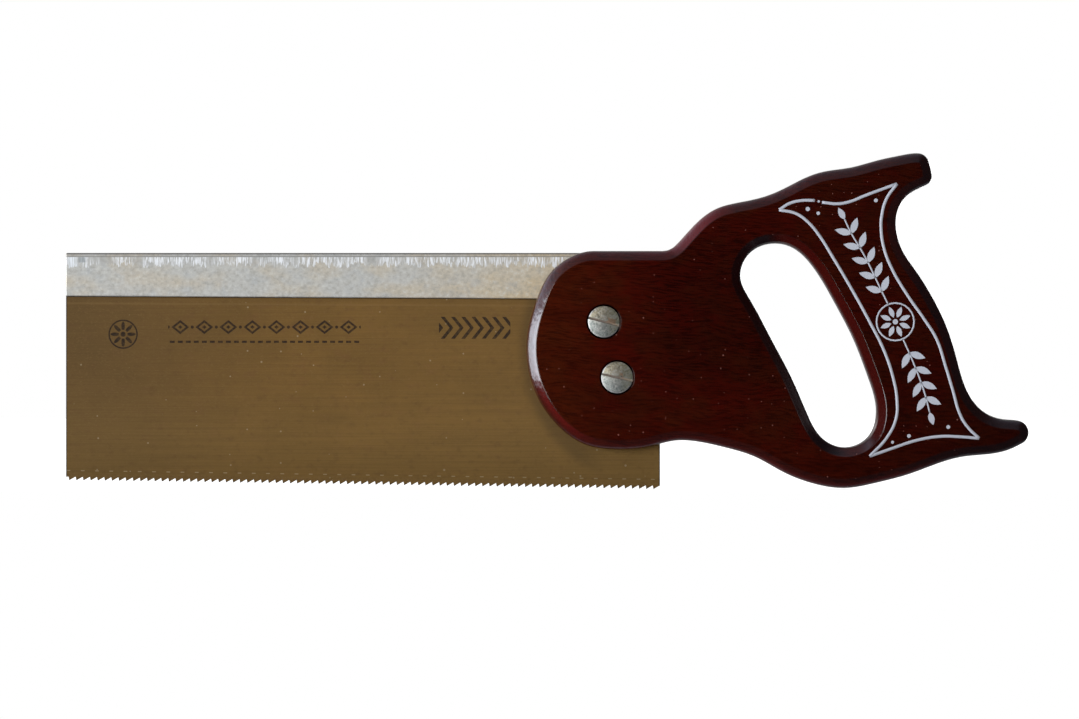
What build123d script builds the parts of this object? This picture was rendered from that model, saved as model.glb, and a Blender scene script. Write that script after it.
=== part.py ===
"""Tenon saw: a toothed steel blade, stiffened by a folded steel spine, in a closed wooden handle.

Millimetres. The saw stands on its teeth: X runs from the toe to the handle, Y through the
thickness, Z up. Its origin is the middle of its length and thickness, at the level of the heel's
tooth tips. Side profiles are drawn on the datum plane, whose own origin is the top of the blade's heel
edge, level with the spine's top, with X towards the handle and Y up.
"""

import os
from math import atan2, cos, radians, sin, tan

from build123d import *

os.makedirs("parts", exist_ok=True)

# Blade
blade_length = 250.0
blade_thickness = 0.9
toe_depth = 95.6  # from the spine's top to the tooth tips
heel_drop = 3.8  # how much deeper the blade is at its heel
tooth_pitch = 3.0
tooth_depth = 1.4
tooth_set = 0.2  # how far a tip leans sideways
tooth_rake = 12.0  # degrees that the steep face leans back
tooth_tip_width = 0.12
gullet_width = 0.15

# Spine
spine_thickness = 4.2
spine_top_thickness = 3.7
spine_shoulder_depth = 6.4  # the folded top widens down to here
spine_height_toe = 18.1
spine_height_heel = 19.5
spine_fold_wall = 1.8  # metal above the blade
spine_fold_radius = 1.5
spine_edge_chamfer = 0.35

# Handle
handle_thickness = 22.0
rim_bevel = 4.0  # as deep as it is wide, round the outline and the hand hole, on both faces
shoulder_radius = 3.0  # rounds the bevel into the edge
seat_rise = 0.8  # the wood's top above the spine's top
slot_run_out = 1.0  # the slot's end past the blade's heel

# Saw screws and their nuts
head_diameter = 13.4
head_thickness = 2.3
head_crown = 0.45
head_edge_radius = 0.25
head_sink = 0.1  # the crown's top below the handle's face
driver_slot_width = 1.0
driver_slot_depth = 0.8
shank_diameter = 5.0
barrel_diameter = 6.5
barrel_end_wall = 1.2
recess_chamfer = 0.3
upper_screw_place = (-23.7, -29.0)
lower_screw_place = (-18.1, -52.4)
upper_screw_turn = -14.7  # degrees from the spine to the driver slot
lower_screw_turn = -12.8
upper_nut_turn = 62.0
lower_nut_turn = 21.0

# Clearances, on each side
slot_clearance = 0.1
fold_clearance = 0.03
thread_clearance = 0.05
barrel_clearance = 0.1
head_clearance = 0.2
end_clearance = 0.8

# The handle's outline on the datum plane, clockwise from the arm that rises behind the blade. Its
# horns end in arcs that are blunter than the rim's bevel, which can so run on round them.
seat_front = -28.0
horn_top_bluntness = 0.8
horn_foot_bluntness = 0.2
lower_horn_bluntness = 1.1
arm = [(4.4, 1.6), (8, 4.6), (16, 13.2), (23.5, 18.5), (33, 21.2), (44, 23.7)]
arm += [(52, 27), (60, 31.1), (68, 34), (80, 35.9), (92, 39.1), (101, 41)]
horn_top_centre = (108.4, 37.1)
horn_foot_centre = (110.2, 32.3)
grip_back = [(103.4, 23.5), (99.8, 17), (99.5, 9), (102.6, 0), (108, -8), (115.4, -20)]
grip_back += [(121, -32), (125, -45), (129.2, -58), (136, -66.7), (144, -69.9)]
lower_horn_centre = (150.0, -75.6)
belly = [(147, -82.7), (138, -84.7), (127, -85.8), (116, -88.9), (104, -93.3), (91, -96.7)]
belly += [(78, -98.9), (64, -96.9), (52, -92.3), (40, -85.8), (28, -82), (16, -79.4), (6, -79)]
nose = [(-5, -81.6), (-19.5, -82.6), (-31, -80.8), (-41.8, -73.9), (-51.2, -61.5)]
nose += [(-55.6, -48), (-55.8, -34), (-52.4, -21), (-46.5, -8.8), (-38.5, -2.2)]
hand_hole = [(48.5, 4), (57, 1.6), (64, -5.2), (73.1, -20), (81.4, -36), (87.6, -52)]
hand_hole += [(91.1, -67), (87.6, -77.4), (78, -81.8), (68.4, -78), (62.2, -68)]
hand_hole += [(55.2, -52), (46.8, -36), (38.2, -20), (33.9, -10), (37.4, -0.6)]

heel_depth = toe_depth + heel_drop
horn_top_radius = rim_bevel + horn_top_bluntness
horn_foot_radius = rim_bevel + horn_foot_bluntness
lower_horn_radius = rim_bevel + lower_horn_bluntness
handle_reach = lower_horn_centre[0] + lower_horn_radius
datum = Plane(
    origin=((blade_length - handle_reach) / 2, 0, heel_depth),
    x_dir=(1, 0, 0),
    z_dir=(0, -1, 0),
)
half_handle = handle_thickness / 2
head_seat = half_handle - head_sink - head_thickness
seat_span = 2 * head_seat  # from one head's seat to the other's
front = -1
back = 1


def spine_lip(x):
    """Give the height of the spine's lower edge at x, which drops from the toe to the heel."""
    drop_per_length = (spine_height_heel - spine_height_toe) / blade_length
    return -spine_height_heel - drop_per_length * x


def seat_plane(place, facing, turn):
    """Give the plane that a screw's or nut's head seats on, its X turned along the slot."""
    x, y = place
    return Plane(
        origin=datum.origin + Vector(x, facing * head_seat, y),
        x_dir=(cos(radians(turn)), 0, sin(radians(turn))),
        z_dir=(0, facing, 0),
    )


def smooth_run(before, points, after):
    """Draw a curve through points that carries on smoothly from one line or arc to another."""
    tangents = [before % 1, after % 0]
    return Spline(before @ 1, *points, after @ 0, tangents=tangents, tangent_scalars=[1, 1])


# Handle: one board of hardwood, sawn to shape, bevelled and rounded on both sides and lacquered
with BuildPart() as handle:
    with BuildSketch(datum):
        with BuildLine():
            seat = Line((seat_front, seat_rise), (slot_run_out, seat_rise))
            horn_top = CenterArc(horn_top_centre, horn_top_radius, 85, -67)
            horn_foot = CenterArc(horn_foot_centre, horn_foot_radius, 8, -74)
            lower_horn = CenterArc(lower_horn_centre, lower_horn_radius, 76, -138)
            smooth_run(seat, arm, horn_top)
            smooth_run(horn_top, [], horn_foot)
            smooth_run(horn_foot, grip_back, lower_horn)
            smooth_run(lower_horn, belly + nose, seat)
        make_face()
        with BuildLine():
            Spline(*hand_hole, periodic=True)
        make_face(mode=Mode.SUBTRACT)
    extrude(amount=half_handle, both=True)
    rims = [edge for edge in handle.edges() if abs(abs(edge.center().Y) - half_handle) < 0.001]
    chamfer(rims, length=rim_bevel)
    bevel_foot = half_handle - rim_bevel
    feet = [edge for edge in handle.edges() if abs(abs(edge.center().Y) - bevel_foot) < 0.001]
    fillet(feet, radius=shoulder_radius)

    # The blade's slot runs down through the belly; the spine's groove above it is open on top
    with BuildSketch(datum):
        with Locations((slot_run_out, seat_rise)):
            Rectangle(blade_length, 2 * heel_depth, align=(Align.MAX, Align.CENTER))
    extrude(amount=blade_thickness / 2 + slot_clearance, both=True, mode=Mode.SUBTRACT)
    with BuildSketch(datum):
        with BuildLine():
            groove_floor = [
                (-blade_length, spine_lip(-blade_length) - slot_clearance),
                (slot_run_out, spine_lip(slot_run_out) - slot_clearance),
            ]
            above = [(slot_run_out, spine_height_heel), (-blade_length, spine_height_heel)]
            Polyline(*groove_floor, *above, close=True)
        make_face()
    extrude(amount=spine_thickness / 2 + slot_clearance, both=True, mode=Mode.SUBTRACT)

    # A recess in each face for each head, joined by a bore for the nut's barrel
    for facing in (front, back):
        for place in (upper_screw_place, lower_screw_place):
            with Locations(seat_plane(place, facing, 0).offset(head_sink + head_thickness)):
                CounterBoreHole(
                    radius=barrel_diameter / 2 + barrel_clearance,
                    counter_bore_radius=head_diameter / 2 + head_clearance,
                    counter_bore_depth=head_sink + head_thickness,
                )
    mouths = [
        edge
        for edge in handle.edges().filter_by(GeomType.CIRCLE)
        if abs(abs(edge.center().Y) - half_handle) < 0.001
        and abs(edge.radius - head_diameter / 2 - head_clearance) < 0.001
    ]
    chamfer(mouths, length=recess_chamfer)

# Spine: a steel strip folded over the blade's top edge, whose two lips taper up to the toe
with BuildPart() as spine:
    with BuildSketch(Plane(origin=datum.origin, x_dir=(0, 1, 0), z_dir=(1, 0, 0))):
        with BuildLine():
            half_top = spine_top_thickness / 2
            half_spine = spine_thickness / 2
            Polyline(
                *[(-half_top, 0), (half_top, 0), (half_spine, -spine_shoulder_depth)],
                *[(half_spine, -heel_depth), (-half_spine, -heel_depth)],
                (-half_spine, -spine_shoulder_depth),
                close=True,
            )
        face = make_face()
        fillet(face.vertices().sort_by(Axis.Y)[-2:], radius=spine_fold_radius)
    extrude(amount=-blade_length)
    with BuildSketch(datum):
        with BuildLine():
            lips = [(-blade_length, spine_lip(-blade_length)), (0, spine_lip(0))]
            Polyline(*lips, (0, -heel_depth), (-blade_length, -heel_depth), close=True)
        make_face()
    extrude(amount=spine_thickness, both=True, mode=Mode.SUBTRACT)
    with BuildSketch(datum):
        with Locations((0, -spine_fold_wall)):
            Rectangle(blade_length, heel_depth, align=Align.MAX)
    extrude(amount=blade_thickness / 2 + fold_clearance, both=True, mode=Mode.SUBTRACT)
    flank_edges = [edge for edge in spine.edges() if abs(abs(edge.center().Y) - half_spine) < 0.001]
    shoulder_height = datum.origin.Z - spine_shoulder_depth
    outer_edges = [edge for edge in flank_edges if edge.center().Z < shoulder_height - 0.001]
    chamfer(outer_edges, length=spine_edge_chamfer)


tooth_line_slope = atan2(heel_drop, blade_length)
tooth_line_length = blade_length / cos(tooth_line_slope)
tooth_count = int(tooth_line_length / tooth_pitch)
root_rise = tooth_depth / cos(tooth_line_slope)


def tooth_foot(index):
    """Give the plane of a tooth's foot, counted from the heel: X to the heel, Z down the tooth."""
    from_heel = tooth_pitch * (index + 1)
    x = -from_heel * cos(tooth_line_slope)
    y = root_rise - heel_depth + from_heel * sin(tooth_line_slope)
    return Plane(
        origin=datum.origin + Vector(x, 0, y),
        x_dir=(cos(tooth_line_slope), 0, -sin(tooth_line_slope)),
        z_dir=(-sin(tooth_line_slope), 0, -cos(tooth_line_slope)),
    )


def cut_tooth(lean):
    """Shape one tooth on the XY plane, standing up Z, whose tip leans sideways by lean."""
    foot_length = tooth_pitch - gullet_width
    tip_place = tooth_depth * tan(radians(tooth_rake)) + tooth_tip_width / 2
    with BuildPart() as tooth:
        with BuildSketch():
            with Locations((foot_length / 2, 0)):
                Rectangle(foot_length, blade_thickness)
        with BuildSketch(Plane.XY.offset(tooth_depth)):
            with Locations((tip_place, lean)):
                Rectangle(tooth_tip_width, blade_thickness)
        loft(ruled=True)
    return tooth.part


# Blade: spring steel plate, deeper at the heel, with a row of teeth bent left and right by turns
tooth_to_back = cut_tooth(tooth_set)
tooth_to_front = cut_tooth(-tooth_set)
with BuildPart() as blade:
    with BuildSketch(datum):
        with BuildLine():
            Polyline(
                *[(-blade_length, -spine_fold_wall), (0, -spine_fold_wall)],
                *[(0, root_rise - heel_depth), (-blade_length, root_rise - toe_depth)],
                close=True,
            )
        make_face()
    extrude(amount=blade_thickness / 2, both=True)
    with Locations(*[tooth_foot(index) for index in range(0, tooth_count, 2)]):
        add(tooth_to_back)
    with Locations(*[tooth_foot(index) for index in range(1, tooth_count, 2)]):
        add(tooth_to_front)
    with BuildSketch(datum):
        with Locations(upper_screw_place, lower_screw_place):
            Circle(barrel_diameter / 2 + barrel_clearance)
    extrude(amount=blade_thickness, both=True, mode=Mode.SUBTRACT)


def turn_head(seat):
    """Make a saw screw's head on its seat: a crowned disc with a driver slot across it."""
    axial = Plane(origin=seat.origin, x_dir=seat.x_dir, z_dir=-seat.y_dir)
    rim_corner = (head_diameter / 2, head_thickness - head_crown)
    with BuildPart() as head:
        with BuildSketch(axial) as half_section:
            with BuildLine():
                Polyline((0, head_thickness), (0, 0), (head_diameter / 2, 0), rim_corner)
                TangentArc((0, head_thickness), rim_corner, tangent=(1, 0))
            make_face()
            corners = half_section.vertices().sort_by_distance(rim_corner)
            fillet(corners[0], radius=head_edge_radius)
        revolve(axis=Axis(seat.origin, seat.z_dir))
        with BuildSketch(seat.offset(head_thickness)):
            Rectangle(2 * head_diameter, driver_slot_width)
        extrude(amount=-driver_slot_depth, mode=Mode.SUBTRACT)
    return head.part


def make_screw(place, turn):
    """Make a saw screw, put in from the front: a slotted head on a shank."""
    seat = seat_plane(place, front, turn)
    head = turn_head(seat)
    with BuildPart() as screw:
        add(head)
        with BuildSketch(seat):
            Circle(shank_diameter / 2)
        extrude(amount=barrel_end_wall + end_clearance - seat_span)
    return screw.part


def make_nut(place, turn):
    """Make a barrel nut, put in from the back: a slotted head on a barrel with a blind bore."""
    seat = seat_plane(place, back, turn)
    head = turn_head(seat)
    with BuildPart() as nut:
        add(head)
        with BuildSketch(seat):
            Circle(barrel_diameter / 2)
        extrude(amount=end_clearance - seat_span)
        with BuildSketch(seat.offset(-barrel_end_wall)):
            Circle(shank_diameter / 2 + thread_clearance)
        extrude(amount=-seat_span, mode=Mode.SUBTRACT)
    return nut.part


pieces = {
    "handle": handle.part,
    "spine": spine.part,
    "blade": blade.part,
    "upper_saw_screw": make_screw(upper_screw_place, upper_screw_turn),
    "upper_saw_nut": make_nut(upper_screw_place, upper_nut_turn),
    "lower_saw_screw": make_screw(lower_screw_place, lower_screw_turn),
    "lower_saw_nut": make_nut(lower_screw_place, lower_nut_turn),
}
for name, piece in pieces.items():
    piece.label = name
    export_step(piece, f"parts/{name}.step")
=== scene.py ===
"""Tenon saw: the looks of a toothed steel blade in a folded steel spine and a lacquered handle.

Metres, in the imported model's own frame: X runs from the toe to the handle, Y through the
thickness to the back, Z up. The sections follow the saw as it is put together.
"""

import math

import bpy
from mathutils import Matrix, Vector


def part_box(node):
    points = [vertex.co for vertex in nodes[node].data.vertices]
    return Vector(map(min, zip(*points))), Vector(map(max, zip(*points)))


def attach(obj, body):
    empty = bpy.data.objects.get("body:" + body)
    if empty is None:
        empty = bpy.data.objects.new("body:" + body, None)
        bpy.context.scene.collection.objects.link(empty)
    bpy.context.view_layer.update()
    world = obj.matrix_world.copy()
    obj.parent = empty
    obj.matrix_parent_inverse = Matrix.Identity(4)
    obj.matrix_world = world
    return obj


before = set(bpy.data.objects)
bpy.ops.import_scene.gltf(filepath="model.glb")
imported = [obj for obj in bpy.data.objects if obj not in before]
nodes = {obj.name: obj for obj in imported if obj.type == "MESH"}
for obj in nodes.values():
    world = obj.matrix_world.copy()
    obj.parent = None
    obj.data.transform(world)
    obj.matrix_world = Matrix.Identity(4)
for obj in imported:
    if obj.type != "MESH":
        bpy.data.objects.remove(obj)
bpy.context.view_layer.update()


# ---- Blade ----------------------------------------------------------------------------------
# Rolled spring steel, brushed along its length and browned by a thin film of oil and varnish.
# Its teeth are bent left and right by turns, and every second pair shows the setting tool's dent.

mm = 0.001


class Signal:
    """A value on a shader socket. Sums and products of signals add their own Math nodes."""

    def __init__(self, coat, socket):
        self.coat = coat
        self.socket = socket

    def math(self, operation, *others):
        """Give what a Math node makes of this value and others."""
        values = dict(enumerate((self, *others)))
        return self.coat.add("ShaderNodeMath", {"operation": operation}, values)

    def __add__(self, other):
        return self.math("ADD", other)

    def __sub__(self, other):
        return self.math("SUBTRACT", other)

    def __rsub__(self, other):
        return self.math("MULTIPLY_ADD", -1.0, other)

    def __mul__(self, other):
        return self.math("MULTIPLY", other)

    def __truediv__(self, other):
        return self.math("DIVIDE", other)

    def __mod__(self, other):
        return self.math("FLOORED_MODULO", other)

    def __abs__(self):
        return self.math("ABSOLUTE")

    __radd__ = __add__
    __rmul__ = __mul__

    def larger(self, other):
        """Give the larger of two values."""
        return self.math("MAXIMUM", other)

    def smaller(self, other):
        """Give the smaller of two values."""
        return self.math("MINIMUM", other)

    def distance(self, other):
        """Give how far the place (self, other) lies from (0, 0)."""
        return (self * self + other * other).math("SQRT")

    def rise(self, low, high):
        """Go smoothly from 0 at low to 1 at high."""
        values = {"Value": self, "From Min": low, "From Max": high}
        return self.coat.add("ShaderNodeMapRange", {"interpolation_type": "SMOOTHSTEP"}, values)

    def band(self, low, high, blur):
        """Be 1 from low to high and fall to 0 over a blur on each side."""
        return self.rise(low - blur, low) * self.rise(high + blur, high)


class Coat:
    """A finish on a piece, painted by the place in the saw's frame, in millimetres."""

    def __init__(self, name, **constants):
        self.material = bpy.data.materials.new(name)
        self.material.use_nodes = True
        self.tree = self.material.node_tree
        self.shader = self.tree.nodes["Principled BSDF"]
        for socket, value in constants.items():
            self.shader.inputs[socket.replace("_", " ")].default_value = value
        self.start("Object", 1 / mm)

    def start(self, coordinates, scale):
        """Read the place or direction that the finish is painted by."""
        place = self.add("ShaderNodeTexCoord", {}, {}, coordinates)
        self.place = self.vector("SCALE", place, Scale=scale)
        self.x, self.y, self.z = [
            self.add("ShaderNodeSeparateXYZ", {}, {"Vector": self.place}, axis) for axis in "XYZ"
        ]

    def add(self, kind, settings, values, output=0):
        """Add a node with its settings and the values or links of its sockets."""
        node = self.tree.nodes.new(kind)
        for name, value in settings.items():
            setattr(node, name, value)
        for name, value in values.items():
            if isinstance(name, int):
                socket = node.inputs[name]
            else:
                socket = next(s for s in node.inputs if s.enabled and s.name == name)
            if isinstance(value, Signal):
                self.tree.links.new(value.socket, socket)
            else:
                socket.default_value = value
        if isinstance(output, int):
            return Signal(self, [s for s in node.outputs if s.enabled][output])
        return Signal(self, node.outputs[output])

    def vector(self, operation, first, second=None, **values):
        """Vector arithmetic on one or two vectors."""
        if second is not None:
            values[1] = second
        return self.add("ShaderNodeVectorMath", {"operation": operation}, {0: first, **values})

    def noise(self, stretch, detail=2.0, roughness=0.5, shift=0.0, place=None):
        """Cloudy noise from 0 to 1 whose blots are about as long as stretch gives for each axis."""
        place = place or self.place
        scaled = self.vector("MULTIPLY", place, tuple(1 / length for length in stretch))
        moved = self.vector("ADD", scaled, (shift, shift, shift))
        values = {"Vector": moved, "Scale": 1.0, "Detail": detail, "Roughness": roughness}
        return self.add("ShaderNodeTexNoise", {}, values, "Fac")

    def specks(self, spacing, size, share, shift=0.0):
        """Round specks of up to a size, in a share of the cells of a loose grid."""
        spot = self.add("ShaderNodeCombineXYZ", {}, {"X": self.x + shift, "Y": self.z + shift})
        cells = {"Vector": spot, "Scale": 1 / spacing}
        flat = {"voronoi_dimensions": "2D"}
        distance = self.add("ShaderNodeTexVoronoi", flat, cells, "Distance")
        colour = self.add("ShaderNodeTexVoronoi", flat, cells, "Color")
        chance = self.add("ShaderNodeSeparateColor", {}, {"Color": colour}, "Red")
        reach = size / spacing * chance.rise(1 - share, 1)
        return (reach - distance).rise(0, 0.3 * size / spacing)

    def blend(self, share, first, second):
        """Cover a share of the first colour with the second."""
        colours = {"Factor": share, "A": first, "B": second}
        return self.add("ShaderNodeMix", {"data_type": "RGBA"}, colours)

    def paint(self, **signals):
        """Link signals to the shader's sockets."""
        for socket, signal in signals.items():
            self.tree.links.new(signal.socket, self.shader.inputs[socket.replace("_", " ")])

    def relief(self, height, depth, **over):
        """Raise the surface by a height from 0 to 1 times a depth in millimetres."""
        return self.add("ShaderNodeBump", {}, {"Height": height, "Distance": depth * mm, **over})


def rgb(red, green, blue):
    """Give the colour that a screen shows for levels from 0 to 255."""
    levels = [level / 255 for level in (red, green, blue)]
    return (*[c / 12.92 if c <= 0.04045 else ((c + 0.055) / 1.055) ** 2.4 for c in levels], 1.0)


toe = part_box("blade")[0].x / mm
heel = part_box("blade")[1].x / mm
spine_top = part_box("spine")[1].z / mm
spine_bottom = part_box("spine")[0].z / mm
spine_taper = 1.4 / 250  # its lower edge and the line of the teeth both rise toward the toe
tooth_line_slope = 3.8 / 250
lobe_reach = 55.8  # the handle's rounded end, round which the steel is painted darker as its shadow
lobe_height = 40.0
mark_pitch = 6.0  # the setting tool's dents, in a row above the teeth
mark_length = 1.9
mark_height = 4.05

# The browned surface: brushing and bands along it, clouds, smudges and grit.
steel = Coat("browned_blade_steel", Metallic=0.5)
from_toe = steel.x - toe
past_heel = steel.x - heel
before_heel = heel - steel.x
above_teeth = steel.z - before_heel * tooth_line_slope
brushing = steel.noise((60, 4, 0.5), 5.0, 0.65)
bands = steel.noise((14, 900, 300), 2.0, 0.5, 7.0)
clouds = steel.noise((30, 30, 18), 3.0, 0.55, 3.0)
tone = steel.blend(clouds.rise(0.35, 0.65), rgb(122, 90, 39), rgb(129, 95, 42))
ruddy = steel.noise((9, 9, 5), 3.0, 0.6, 11.0)
tone = steel.blend(ruddy.rise(0.5, 0.75) * 0.3, tone, rgb(124, 82, 48))
tone = steel.blend(from_toe.rise(110, 0) * 0.5, tone, rgb(84, 66, 38))
tone = steel.blend(from_toe.rise(90, 260) * 0.3, tone, rgb(142, 110, 58))
tone = steel.blend((spine_top - steel.z).rise(45, 95) * 0.4, tone, rgb(148, 116, 60))
tone = steel.blend((bands - 0.5) * 0.2, tone, rgb(70, 50, 24))
tone = steel.blend(brushing.rise(0.35, 0.75) * 0.3, tone, rgb(84, 60, 26))
smudges = steel.noise((3.5, 3.5, 2.5), 3.0, 0.6, 23.0)
tone = steel.blend(smudges.rise(0.5, 0.75) * 0.3, tone, rgb(96, 66, 32))
grit = steel.noise((0.9, 0.9, 0.5), 2.0, 0.6, 17.0)
tone = steel.blend(grit.rise(0.5, 0.8) * 0.3, tone, rgb(142, 112, 68))

# Wear and dents above the teeth, flecks, a painted shadow round the handle's end, and painted shade
# along the edges, under the spine and over the teeth.
setting = steel.noise((0.8, 0.8, 0.5)).rise(0.45, 0.7)
setting = above_teeth.band(0, mark_height - 1.0, 0.5) * setting
tone = steel.blend(setting * 0.35, tone, rgb(140, 112, 70))
along_mark = abs(past_heel % mark_pitch - mark_pitch / 2)
mark = above_teeth.band(mark_height - 0.12, mark_height + 0.12, 0.15)
mark = along_mark.rise(mark_length / 2, mark_length / 2 - 0.35) * mark
tone = steel.blend(mark * 0.55, tone, rgb(190, 170, 130))
flecks = steel.specks(7.0, 0.45, 0.25).larger(steel.specks(19.0, 0.55, 0.4, 5.0))
tone = steel.blend(flecks * 0.4, tone, rgb(190, 174, 140))
# Painted shadow: the steel darker in a band round the handle's rounded end.
above_lobe = steel.z - spine_top + lobe_height
from_lobe = past_heel.distance(above_lobe) - lobe_reach
lobe_shadow = from_lobe.rise(5.5, 0.5) * past_heel.rise(-20, -38)
tone = steel.blend(lobe_shadow * 0.32, tone, rgb(44, 38, 26))
below_spine = spine_bottom + before_heel * spine_taper - steel.z
tone = steel.blend(below_spine.band(2.8, 3.3, 0.3) * 0.2, tone, rgb(150, 118, 72))
# Painted shade: darker along the toe and heel edges, in a line under the spine, and over the teeth.
edge = from_toe.rise(0.55, 0.3).larger(before_heel.rise(0.55, 0.3))
edge = edge.larger(below_spine.rise(0.55, 0.2))
painted_teeth_shade = above_teeth.rise(0.9, 0.3)
painted_shade = edge.larger(painted_teeth_shade * 0.75)
tone = steel.blend(painted_shade * 0.85, tone, rgb(44, 34, 20))

# The etched ornament: a petalled star, a chain of lozenges over a dashed line, and chevrons.
star_place = (heel - 226, spine_top - 34.2)
star_radius = 5.4
chain_start, chain_end = heel - 207, heel - 126
chain_height = spine_top - 31.2
link_length = (chain_end - chain_start) / 8
link_half_height = 3.0
dashes_drop = 6.2
chevrons_start, chevrons_end = heel - 93, heel - 63
chevrons_height = spine_top - 31.5
chevrons_half_height = 4.7
chevron_pitch = 4.3

star_x = steel.x - star_place[0]
star_z = steel.z - star_place[1]
from_centre = star_x.distance(star_z)
petal_turn = star_z.math("ARCTAN2", star_x) * 4
petals = (star_radius * abs(petal_turn.math("COSINE")) - from_centre).rise(-0.1, 0.35)
star = (petals * from_centre.rise(1.7, 2.0)).larger(from_centre.rise(1.2, 0.9))
star = star.larger(from_centre.band(star_radius + 0.2, star_radius + 0.7, 0.15))
in_chain = steel.x.band(chain_start, chain_end, 0.1)
link_x = abs((steel.x - chain_start) % link_length - link_length / 2)
link_z = abs(steel.z - chain_height)
across_link = link_x / (link_length / 2 - 1.3) + link_z / link_half_height
lozenges = across_link.band(0.66, 0.95, 0.08).larger(across_link.rise(0.32, 0.2))
beads = ((link_x - link_length / 2).math("POWER", 2.0) + link_z * link_z).rise(0.55, 0.3)
dash_x = abs((steel.x - chain_start) % (link_length / 3) - link_length / 6)
below_chain = chain_height - steel.z
dashes = below_chain.band(dashes_drop - 0.4, dashes_drop + 0.4, 0.15)
dashes = dash_x.rise(1.15, 0.95) * dashes
chain = in_chain * lozenges.larger(beads).larger(dashes)
chevron_z = abs(steel.z - chevrons_height)
chevron_x = (steel.x + chevron_z * 0.8 - chevrons_start) % chevron_pitch
chevrons = chevron_z.rise(chevrons_half_height, chevrons_half_height - 0.2)
chevrons = chevron_x.band(0.2, 1.7, 0.15) * chevrons
chevrons = chevrons * steel.x.band(chevrons_start, chevrons_end, 0.1)
on_front = steel.y.rise(0, -0.3)
etching_depth = 0.75 + 0.25 * steel.noise((0.8, 0.8, 0.8), 2.0, 0.6, 13.0).rise(0.3, 0.6)
etched = star.larger(chain).larger(chevrons) * on_front * etching_depth
tone = steel.blend(etched * 0.92, tone, rgb(38, 26, 15))
steel.paint(
    Base_Color=tone,
    Roughness=(0.44 + 0.14 * brushing + 0.08 * clouds).larger(0.6 * etched),
    Normal=steel.relief(brushing, 0.01),
)
nodes["blade"].data.materials[0] = steel.material


# ---- Spine ----------------------------------------------------------------------------------
# A strip of bright steel folded double and pressed over the blade's top edge. The folding rolls
# have scuffed it along the fold, and left it satin and a little stained below.

fold_scuff_top = 1.9  # below the spine's top
fold_scuff_bottom = 6.4

bright = Coat("folded_spine_steel", Metallic=0.5)
from_toe = bright.x - toe
below_top = spine_top - bright.z
mottle = bright.noise((5, 5, 4), 4.0, 0.6)
warmth = bright.noise((18, 9, 9), 3.0, 0.5, 4.0)
warmth = from_toe.rise(130, 230) * 0.95 + warmth.rise(0.4, 0.7) * 0.5
shade = bright.blend(warmth, rgb(204, 203, 197), rgb(213, 195, 163))
shade = bright.blend(mottle.rise(0.45, 0.75) * 0.3, shade, rgb(168, 176, 184))
stains = bright.noise((1.5, 4, 1.3), 2.0, 0.6, 15.0)
shade = bright.blend(stains.rise(0.45, 0.8) * 0.5, shade, rgb(158, 154, 142))
shade = bright.blend(stains.rise(0.5, 0.2) * 0.6, shade, rgb(226, 226, 220))

# Scuffs of the folding rolls, a bright and a dark spot at the toe, a dark wavy line along the fold,
# and painted shade along the top where the fold rounds away.
clusters = bright.noise((7, 30, 30), 2.0, 0.5, 9.0).rise(0.32, 0.52)
scratches = bright.noise((0.5, 9, 4.5), 3.0, 0.6, 2.0)
ragged = fold_scuff_bottom - 3.0 * bright.noise((1.6, 20, 20), 3.0, 0.6, 6.0).rise(0.3, 0.75)
scuffed = (ragged - below_top).rise(-0.3, 0.3)
scuffed = below_top.rise(fold_scuff_top - 0.4, fold_scuff_top) * scuffed
scuff = scratches.rise(0.38, 0.64) * clusters * scuffed
shade = bright.blend(scuffed * 0.35, shade, rgb(172, 172, 170))
shade = bright.blend(scuff, shade, rgb(250, 252, 254))
toe_bright_spot = scuffed * from_toe.band(0.8, 4.6, 0.6)
shade = bright.blend(toe_bright_spot * 0.45, shade, rgb(236, 242, 246))
toe_dark_spot = from_toe.band(5.8, 7.6, 1.2) * below_top.band(2.2, 3.6, 0.8)
shade = bright.blend(toe_dark_spot * 0.6, shade, rgb(140, 150, 156))
wavy = below_top - 0.25 * bright.noise((6, 50, 50), 2.0, 0.5, 1.0)
shade = bright.blend(wavy.band(1.3, 1.5, 0.25) * 0.6, shade, rgb(120, 118, 116))
# Painted shade: a dark band along the top, where the rounded fold turns away.
shade = bright.blend(below_top.rise(0.75, 0.3) * 0.85, shade, rgb(84, 82, 80))
bright.paint(
    Base_Color=shade,
    Roughness=0.46 + 0.12 * mottle + 0.1 * scuff,
    Normal=bright.relief(scratches * scuffed + 0.3 * mottle, 0.03),
)
nodes["spine"].data.materials[0] = bright.material


# ---- Handle ---------------------------------------------------------------------------------
# One board of hardwood, its rims bevelled and sanded soft, stained dark red-brown and sprayed
# with glossy lacquer that has caught a little dust.


def head_of(screw):
    """Give how far along and how high a screw's or nut's middle lies, and its head's radius."""
    low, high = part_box(screw)
    return (low.x + high.x) / 2 / mm, (low.z + high.z) / 2 / mm, (high.x - low.x) / 2 / mm


half_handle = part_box("handle")[1].y / mm
groove_half_width = 2.4
arris_radius = 0.5
rim_depth = 4.0
rim_crown = 0.85
hole_start = (heel + 52, spine_top - 14)  # the line that the hand hole lies round
hole_heading = (0.447, -0.894)
hole_length = 58.0
hole_reach = 27.0  # from that line past the hole's bevelled rim
hole_back_lean = 0.8  # how much further the bevel falls away at the back of the hand hole
hole_foot_lean = 0.7  # and how much less at the hole's foot
recess_reach = 0.8  # from a screw's head past the recess that it sits in
rim_waves, rim_streaks, face_ripple = 0.17, 0.06, 0.04  # heights of the lacquer's unevenness

wood = Coat("lacquered_hardwood", IOR=1.8)
past_heel = wood.x - heel
below_top = spine_top - wood.z
from_face = half_handle - abs(wood.y)
on_face = from_face.rise(1.0, 0.5)
on_rim = from_face.rise(0.0, 0.5)
to_arris = (1 - from_face / rim_depth).larger(0)

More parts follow.
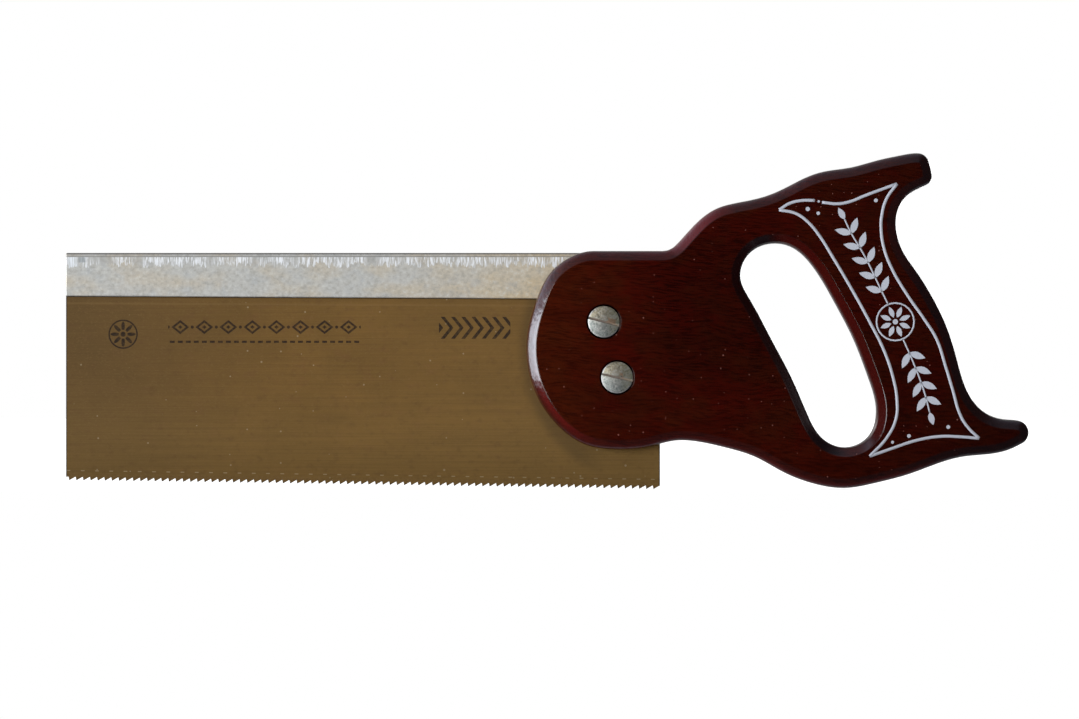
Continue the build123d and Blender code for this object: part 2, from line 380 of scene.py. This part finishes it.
# The board: its figure and pores, and the stain that went on lighter or darker in places.
sway = wood.noise((26, 40, 22), 2.0, 0.5, 3.0) * 7 + 0.07 * wood.x
along_grain = wood.add("ShaderNodeCombineXYZ", {}, {"X": wood.x, "Y": wood.y, "Z": wood.z + sway})
figure = wood.noise((40, 8, 6), 4.0, 0.6, 0.0, along_grain)
pores = wood.noise((7, 1.8, 0.55), 3.0, 0.6, 5.0, along_grain)
blotches = wood.noise((16, 16, 12), 3.0, 0.6, 12.0)
ripple = wood.noise((6, 6, 5), 2.0, 0.5, 8.0)
stain = wood.blend(blotches.rise(0.35, 0.65), rgb(56, 16, 4), rgb(60, 8, 2))
stain = wood.blend(past_heel.rise(-12, -58) * 0.6, stain, rgb(68, 24, 5))
belly = below_top.rise(68, 96) * past_heel.rise(128, 96)
stain = wood.blend(belly * 0.7, stain, rgb(74, 18, 4))
stain = wood.blend(figure.rise(0.4, 0.7) * 0.4, stain, rgb(38, 7, 2))
toward_grip = past_heel.rise(-50, 150)
stain = wood.blend(toward_grip * 0.55, stain, rgb(26, 3, 1))
heart = past_heel.band(8, 45, 24) * below_top.band(2, 42, 20)
stain = wood.blend(heart * 0.35, stain, rgb(22, 2, 1))
pore_depth = 0.5 + 0.25 * heart + 0.15 * toward_grip
stain = wood.blend(pores.rise(0.48, 0.58) * pore_depth, stain, rgb(20, 2, 1))

# The rims: painted light and shade by the way they face, lighter and redder towards the lamps and
# near black away from them. The lower horn is darker.
hole_x = wood.x - hole_start[0]
hole_z = wood.z - hole_start[1]
hole_along = hole_x * hole_heading[0] + hole_z * hole_heading[1]
hole_across = hole_z * hole_heading[0] - hole_x * hole_heading[1]
past_hole = hole_along - hole_along.larger(0).smaller(hole_length)
round_hole = past_hole.distance(hole_across).rise(hole_reach, hole_reach - 2)
hole_top = hole_along.rise(0, -14) * hole_across.rise(9, 2)
# Painted shade on the hand hole's front and top rims, near black; painted light on its back rim,
# redder.
hole_front_shade = round_hole * on_rim * hole_across.rise(-6, -12).larger(hole_top)
hole_back_light = round_hole * on_rim * hole_across.rise(2, 10)
stain = wood.blend(hole_front_shade * 0.8, stain, rgb(8, 3, 4))
stain = wood.blend(hole_back_light * 0.45, stain, rgb(72, 8, 6))
# Painted shade: the grip's rims, away from the lamps, near black.
grip_rim_shade = on_rim * (1 - round_hole) * past_heel.rise(98, 110)
stain = wood.blend(grip_rim_shade * 0.55, stain, rgb(10, 3, 3))
lower_horn = past_heel.rise(122, 158) * below_top.rise(60, 70)
stain = wood.blend(lower_horn * 0.4, stain, rgb(18, 3, 2))
# Painted light: the rims at the arm's foot lighter and redder.
arm_foot_light = past_heel.band(2, 17, 17) * below_top.rise(4, -5)
stain = wood.blend(arm_foot_light * on_rim * 0.8, stain, rgb(86, 9, 8))
# Painted light: the belly's rims lighter and redder towards their outer edge.
belly_rim_light = belly * on_rim * (1 - round_hole) * to_arris.rise(0.7, 0.2)
stain = wood.blend(belly_rim_light * 0.8, stain, rgb(82, 24, 20))
# Painted light: the rims round the lobe's lower end lighter and redder.
lobe_rim_light = past_heel.rise(-18, -45) * below_top.rise(40, 62)
lobe_rim_light = lobe_rim_light * on_rim * to_arris.rise(0.1, 0.7)
stain = wood.blend(lobe_rim_light * 0.6, stain, rgb(96, 10, 7))

# Dust in the lacquer, bare wood in the slot, and shade in the recesses of the screws.
dust = wood.specks(5.0, 0.24, 0.35).larger(wood.specks(11.0, 0.38, 0.4, 3.0)) * on_face
stain = wood.blend(dust * 0.3, stain, rgb(190, 130, 120))
slot_walls = abs(wood.y).rise(groove_half_width, groove_half_width - 0.2)
stain = wood.blend(slot_walls, stain, rgb(40, 14, 8))
recesses = 0.0
for screw in ("upper_saw_screw", "lower_saw_screw"):
    screw_x, screw_z, head_radius = head_of(screw)
    from_screw = (wood.x - screw_x).distance(wood.z - screw_z)
    recess = from_screw.rise(head_radius + recess_reach, head_radius + recess_reach - 0.35)
    stain = wood.blend(recess * 0.9, stain, rgb(8, 3, 2))
    recesses = recess + recesses

# The surface: arrises sanded round, a slight crown on the rims, and a ripple in the lacquer.
sanded_arris = wood.add("ShaderNodeBevel", {"samples": 8}, {"Radius": arris_radius * mm})
crown = rim_crown * (1 - round_hole) * (1 - to_arris * to_arris)
hole_foot = hole_along.rise(hole_length - 4, hole_length + 8) * hole_across.rise(4, -4)
hole_lean = hole_back_lean * hole_across.rise(2, 10) - hole_foot_lean * hole_foot
hole_lean = hole_lean * round_hole * (to_arris - 1)
waves = rim_waves * (wood.noise((4, 4, 5), 2.0, 0.5, 21.0) - 0.5)
waves = waves + rim_streaks * (wood.noise((0.9, 0.9, 3), 2.0, 0.5, 4.0) - 0.5)
waves = (waves * on_rim + face_ripple * ripple) * (1 - 0.88 * round_hole * on_rim)
wood.paint(
    Base_Color=stain,
    Roughness=0.1 + 0.07 * on_rim + 0.7 * slot_walls,
    Metallic=recesses,
    Normal=wood.relief(0.005 * dust + waves + crown + hole_lean, 1.0, Normal=sanded_arris),
)
nodes["handle"].data.materials[0] = wood.material


# ---- Saw screws -----------------------------------------------------------------------------
# Nickel-plated brass screws and barrel nuts with slotted, slightly crowned heads, whose slots
# have kept some lacquer, with painted highlights and a painted lighter right side on the heads.

slot_half_width = 0.42
screw_turns = {  # degrees from the spine's line to the driver slot
    "upper_saw_screw": -14.7,
    "lower_saw_screw": -12.8,
    "upper_saw_nut": 62.0,
    "lower_saw_nut": 21.0,
}


def plate_screw(name, turn):
    """Finish a screw or nut by the place of its middle and the turn of its slot."""
    screw_x, screw_z, radius = head_of(name)
    nickel = Coat("nickel_plate_of_" + name, Metallic=0.95)
    right = nickel.x - screw_x
    up = nickel.z - screw_z
    sine, cosine = math.sin(math.radians(turn)), math.cos(math.radians(turn))
    across_slot = up * cosine - right * sine
    along_slot = right * cosine + up * sine
    from_middle = right.distance(up)
    scuffs = nickel.noise((0.8, 2, 0.8), 5.0, 0.72)
    tarnish = nickel.noise((2.6, 6, 2.6), 3.0, 0.5, turn)
    half = across_slot + 1.6 * (tarnish - 0.5)
    plate = nickel.blend(half.rise(-2.0, 2.0), rgb(204, 212, 208), rgb(220, 208, 176))
    # Painted highlight: a lighter sheen towards the middle of the head.
    plate = nickel.blend(from_middle.rise(5.5, 1.5) * 0.45, plate, rgb(224, 220, 210))
    # Painted light: the head's right side lighter.
    plate = nickel.blend(right.rise(0.5, 5.5) * 0.8, plate, rgb(246, 242, 210))
    plate = nickel.blend(scuffs.rise(0.5, 0.6) * 0.8, plate, rgb(250, 248, 242))
    plate = nickel.blend(scuffs.rise(0.46, 0.34) * 0.85, plate, rgb(104, 108, 102))
    warm = along_slot.band(1.6, 4.2, 1.4) * across_slot.band(0.6, 1.8, 0.7)
    warm = tarnish.rise(0.42, 0.55) * warm
    plate = nickel.blend(warm * 0.8, plate, rgb(240, 196, 158))
    # Painted highlight: a bright rim round the head's lower left.
    lower_left = (right * 0.6 + up * 0.8).rise(4.5, -1.0)
    rim_highlight = from_middle.rise(radius - 0.7, radius - 0.25) * lower_left
    plate = nickel.blend(rim_highlight, plate, rgb(250, 250, 250))
    burr = nickel.noise((1.4, 2, 1.4), 2.0, 0.5, 1.0).rise(0.4, 0.55)
    burr = across_slot.band(-0.85, -0.6, 0.15) * burr
    plate = nickel.blend(burr * 0.4, plate, rgb(245, 245, 240))
    in_slot = across_slot.band(-slot_half_width, slot_half_width, 0.12)
    plate = nickel.blend(in_slot * (0.5 + 0.4 * scuffs), plate, rgb(120, 92, 76))
    nickel.paint(
        Base_Color=plate,
        Roughness=0.22 + 0.22 * scuffs + 0.3 * in_slot,
        Normal=nickel.relief(scuffs, 0.08),
    )
    nodes[name].data.materials[0] = nickel.material


for name, turn in screw_turns.items():
    plate_screw(name, turn)


# ---- Printed ornament -----------------------------------------------------------------------
# A screen print of pale ink on the grip's front face: a frame of four hollow curves that meet in
# points, round a rosette with two leafy sprigs. The ink is a film that stands slightly proud.

ink_thickness = 0.04
line_width = 1.2
crossing_lift = 0.01  # of the frame's sides over the lines that they meet
stem_width = 0.65
leaf_length, leaf_width, leaf_angle = 7.2, 2.9, 48
end_leaf_length, end_leaf_width = 5.6, 2.6
rosette_place, rosette_radius, rosette_line = (98.8, -29), 7.9, 0.7
heart_radius = 1.1
petals_in_rosette = 8
petal_start, petal_length, petal_width = 1.9, 4.9, 2.1

ink = Coat("pale_screen_ink", Specular_IOR_Level=0.3)
thin_ink = ink.noise((1.6, 1.6, 1.6), 4.0, 0.6).rise(0.55, 0.8)
pale = ink.blend(ink.noise((9, 9, 9)), rgb(168, 173, 184), rgb(182, 184, 193))
pale = ink.blend(thin_ink * 0.4, pale, rgb(120, 104, 124))
ink.paint(Base_Color=pale, Roughness=0.35 + 0.2 * thin_ink, Normal=ink.relief(thin_ink, -0.02))


def lay_out(name, **settings):
    """Start a drawing on the XY plane, in millimetres from the heel and the spine's top."""
    drawing = bpy.data.curves.new(name, "CURVE")
    drawing.resolution_u = 6
    for setting, value in settings.items():
        setattr(drawing, setting, value)
    layout = bpy.data.objects.new(name, drawing)
    bpy.context.collection.objects.link(layout)
    return layout


def draw(layout, points, width=1.0, closed=False, lift=0.0):
    """Draw a smooth line through points, lifted where it would lie in another line's plane."""
    line = layout.data.splines.new("BEZIER")
    line.bezier_points.add(len(points) - 1)
    for knot, point in zip(line.bezier_points, points):
        knot.co = (*point, lift)
        knot.radius = width
        knot.handle_left_type = knot.handle_right_type = "AUTO"
    line.use_cyclic_u = closed


def draw_ring(layout, centre, radius, width=1.0):
    """Draw a closed circle."""
    turns = [math.radians(90 * quarter) for quarter in range(4)]
    points = [(centre[0] + radius * math.cos(t), centre[1] + radius * math.sin(t)) for t in turns]
    draw(layout, points, width, closed=True)


def draw_leaf(layout, root, heading, length, width):
    """Draw a leaf, pointed at its root and tip, along a heading in degrees."""
    along = Vector((math.cos(math.radians(heading)), math.sin(math.radians(heading)), 0))
    across = Vector((-along.y, along.x, 0)) * width * 0.67
    start = Vector((*root, 0))
    leaf = layout.data.splines.new("BEZIER")
    leaf.bezier_points.add(1)
    for knot, reach, bulge, turn in zip(leaf.bezier_points, (0, length), (0.3, 0.6), (1, -1)):
        knot.handle_left_type = knot.handle_right_type = "FREE"
        knot.co = start + along * reach
        knot.handle_right = start + along * bulge * length + across * turn
        knot.handle_left = start + along * bulge * length - across * turn
    leaf.use_cyclic_u = True


def print_on_grip(name, layouts):
    """Make flat drawings one sheet of ink of the right thickness, and lay it on the front face."""
    bpy.ops.object.select_all(action="DESELECT")
    for layout in layouts:
        layout.select_set(True)
    bpy.context.view_layer.objects.active = layouts[0]
    bpy.ops.object.convert(target="MESH")
    bpy.ops.object.join()
    sheet = bpy.context.object
    sheet.name = name
    thickness = sheet.modifiers.new("ink", "SOLIDIFY")
    thickness.thickness = 2 * ink_thickness
    thickness.offset = 0
    bpy.ops.object.modifier_apply(modifier="ink")
    sheet.scale = (mm, mm, mm)
    sheet.rotation_euler = (math.radians(90), 0, 0)
    sheet.location = (heel * mm, -half_handle * mm, spine_top * mm)
    bpy.ops.object.transform_apply(location=True, rotation=True, scale=True)
    sheet.data.materials.clear()
    sheet.data.materials.append(ink.material)
    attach(sheet, "root")


# A flat nib that is drawn along a line gives the line its width.
nib = lay_out("nib", dimensions="2D")
nib_edge = nib.data.splines.new("POLY")
nib_edge.points.add(1)
nib_edge.points[0].co = (-0.5, 0, 0, 1)
nib_edge.points[1].co = (0.5, 0, 0, 1)
pen = {"dimensions": "3D", "twist_mode": "Z_UP", "bevel_mode": "OBJECT", "bevel_object": nib}

# The frame: its top in two strokes with a dot between them, then its two sides and its foot.
top_strokes = [
    [(50, 18), (54.5, 20.8), (59, 21.9), (65, 22)],
    [(68, 21.2), (75, 20.6), (80, 21.6), (86, 24), (99.5, 29)],
]
left_side = [(50, 18), (57, 16.5), (62, 13), (67, 7), (72, -1), (80, -14.5), (88, -29), (94, -41)]
left_side += [(98, -53), (99.5, -62), (99, -70), (95, -78), (88, -85.5)]
right_side = [(99.5, 29), (95, 22.5), (93, 15), (92.8, 10), (94, 2), (97, -6), (104, -18)]
right_side += [(111, -28), (116, -36), (120, -48), (123, -58), (126, -68), (129, -73), (134, -78)]
foot = [(134, -78), (126, -77.3), (117, -77.2), (107, -79), (98, -82), (88, -85.5)]
frame_lines = lay_out("frame_lines", **pen)
for stroke in top_strokes:
    draw(frame_lines, stroke, line_width)
for side in (left_side, right_side):
    draw(frame_lines, side, line_width, lift=crossing_lift)
draw(frame_lines, foot, line_width)
frame_dots = lay_out("frame_dots", dimensions="2D", fill_mode="BOTH")
draw_ring(frame_dots, (66.6, 21.6), 0.5)
print_on_grip("grip_print_frame", [frame_lines, frame_dots])

# The rosette: a ring round a heart and its petals.
stems = lay_out("stems", **pen)
leaves = lay_out("leaves", dimensions="2D", fill_mode="BOTH")
draw_ring(stems, rosette_place, rosette_radius, rosette_line)
draw_ring(leaves, rosette_place, heart_radius)
for petal in range(petals_in_rosette):
    turn = (petal + 0.5) * 360 / petals_in_rosette
    across, up = math.cos(math.radians(turn)), math.sin(math.radians(turn))
    root = (rosette_place[0] + petal_start * across, rosette_place[1] + petal_start * up)
    draw_leaf(leaves, root, turn, petal_length, petal_width)

# The sprigs: stems with leaves in pairs and one at the end. Dots fill the frame's corners.
sprigs = [
    [(95.8, -21.7), (93.2, -16.4), (90.4, -10.5), (87.4, -4.2), (84, 2), (80.4, 8), (77.5, 14)],
    [(102, -36.2), (104.6, -42), (107.2, -48.2), (109.6, -54.4), (111.6, -60.6), (113.2, -67)],
]
for sprig in sprigs:
    draw(stems, sprig, stem_width)
    for before, here, after in zip(sprig, sprig[1:], sprig[2:]):
        heading = math.degrees(math.atan2(after[1] - before[1], after[0] - before[0]))
        draw_leaf(leaves, here, heading + leaf_angle, leaf_length, leaf_width)
        draw_leaf(leaves, here, heading - leaf_angle, leaf_length, leaf_width)
    draw_leaf(leaves, after, heading, end_leaf_length, end_leaf_width)
dots = [((62, 18.4), 0.9), ((66.4, 16.6), 0.75), ((90.6, 22), 0.8), ((121, -73.2), 0.8)]
dots += [((104.5, -77), 0.8), ((97.6, -79.6), 0.65)]
for place, radius in dots:
    draw_ring(leaves, place, radius)
print_on_grip("grip_print_sprigs", [stems, leaves])
bpy.data.objects.remove(nib)


# ---- Studio ---------------------------------------------------------------------------------
# A tall window of soft light stands to the left, in a dim room with a white floor and backdrop.
# The room is painted on the world, and the window is made of lamps side by side.

scene = bpy.context.scene
scene.view_settings.view_transform = "Standard"
view_width = 454.3 * mm
view_middle = (-3.25 * mm, 54.55 * mm)
camera_distance = 5.0
camera_data = bpy.data.cameras.new("camera")
camera_data.sensor_width = 36.0
camera_data.lens = camera_data.sensor_width * camera_distance / view_width
camera_data.clip_end = 50.0
camera = bpy.data.objects.new("camera", camera_data)
camera.location = (view_middle[0], -camera_distance, view_middle[1])
camera.rotation_euler = (math.radians(90), 0, 0)
scene.collection.objects.link(camera)
scene.camera = camera

world = bpy.data.worlds.new("studio")
scene.world = world
world.use_nodes = True


class Room(Coat):
    """The surroundings, painted by direction."""

    def __init__(self, tree):
        self.tree = tree
        self.tree.nodes.clear()
        self.start("Generated", 1.0)


room = Room(world.node_tree)
rays = {
    ray: room.add("ShaderNodeLightPath", {}, {}, f"Is {ray} Ray")
    for ray in ("Camera", "Glossy", "Transmission")
}
matt = 1 - rays["Glossy"]
above = 0.38 * room.z.rise(0.1, 0.65) * room.x.rise(0.6, 0.0)
above = above * (0.3 + 0.7 * room.y.rise(-0.35, 0.1))
upper_left = room.x.rise(-0.25, -0.85) * room.z.rise(0.0, 0.35)
upper_left = upper_left * (0.4 + room.z.rise(0.75, 0.3))
upper_left = upper_left * (0.42 + 0.83 * room.y.rise(-0.4, 0.1))
below = 0.3 * room.z.rise(-0.5, -0.9) * room.y.rise(-0.2, 0.3)
behind = room.y.rise(0.2, 0.9) * (0.12 + 0.68 * matt)
in_front = 0.5 * room.y.rise(-0.1, -0.9) * matt
across = room.y.rise(-0.96, -0.72).larger(matt)
walls = (above + upper_left + below + behind + in_front + 0.03 + 0.12 * matt) * across
backdrop = room.y.rise(0.8, 0.93) * room.y.rise(0.985, 0.93).larger(matt)
white = rays["Camera"].larger(rays["Transmission"]).larger(backdrop)
level = walls * (1 - white) + white
cool = (1 - matt) * (1 - white) * room.y.rise(0.4, 0.1)
tint = room.blend(cool, (1, 1, 1, 1), (0.9, 0.95, 1.2, 1))
light = room.add("ShaderNodeBackground", {}, {"Color": tint, "Strength": level})
output = room.tree.nodes.new("ShaderNodeOutputWorld")
room.tree.links.new(light.socket, output.inputs["Surface"])


lamp_distance = 5.5
lamp_height = 55 * mm
daylight = (0.92, 0.99, 1.1)


def hang_lamp(name, from_view, to_view, radiance, colour=(1, 1, 1), half_height=1.5):
    """Hang a soft lamp on the left between two angles from the line of sight, in degrees."""
    middle = math.radians((from_view + to_view) / 2)
    half_width = lamp_distance * math.tan(math.radians((to_view - from_view) / 2))
    towards = Vector((-math.sin(middle), -math.cos(middle), 0))
    data = bpy.data.lights.new(name, "AREA")
    data.shape = "RECTANGLE"
    data.size = 2 * half_width
    data.size_y = 2 * half_height
    data.energy = math.pi * data.size * data.size_y * radiance
    data.color = colour
    lamp = bpy.data.objects.new(name, data)
    lamp.location = Vector((0, 0, lamp_height)) + towards * lamp_distance
    lamp.rotation_euler = towards.to_track_quat("Z", "Y").to_euler()
    lamp.visible_camera = False
    scene.collection.objects.link(lamp)


hang_lamp("window", 20, 50, 4.0)
hang_lamp("window_side", 50, 66, 7.2, daylight)
hang_lamp("window_edge", 66, 82, 5.0, daylight)
hang_lamp("window_glow", 82, 118, 1.8)
hang_lamp("back_window", -172, -148, 5.0, half_height=1.4)

floor_front = 0.08
floor_size = 6.0
bpy.ops.mesh.primitive_plane_add(size=floor_size, location=(0, floor_size / 2 - floor_front, 0))
floor = bpy.context.object
floor.name = "floor"
paper = Coat("floor_paper", Base_Color=(0.6, 0.6, 0.6, 1), Roughness=0.9)
seen = paper.add("ShaderNodeLightPath", {}, {}, "Is Camera Ray")
paper.shader.inputs["Emission Strength"].default_value = 0.75
paper.paint(Emission_Color=paper.blend(seen, rgb(0, 0, 0), rgb(255, 255, 255)))
floor.data.materials.append(paper.material)
floor.visible_glossy = False
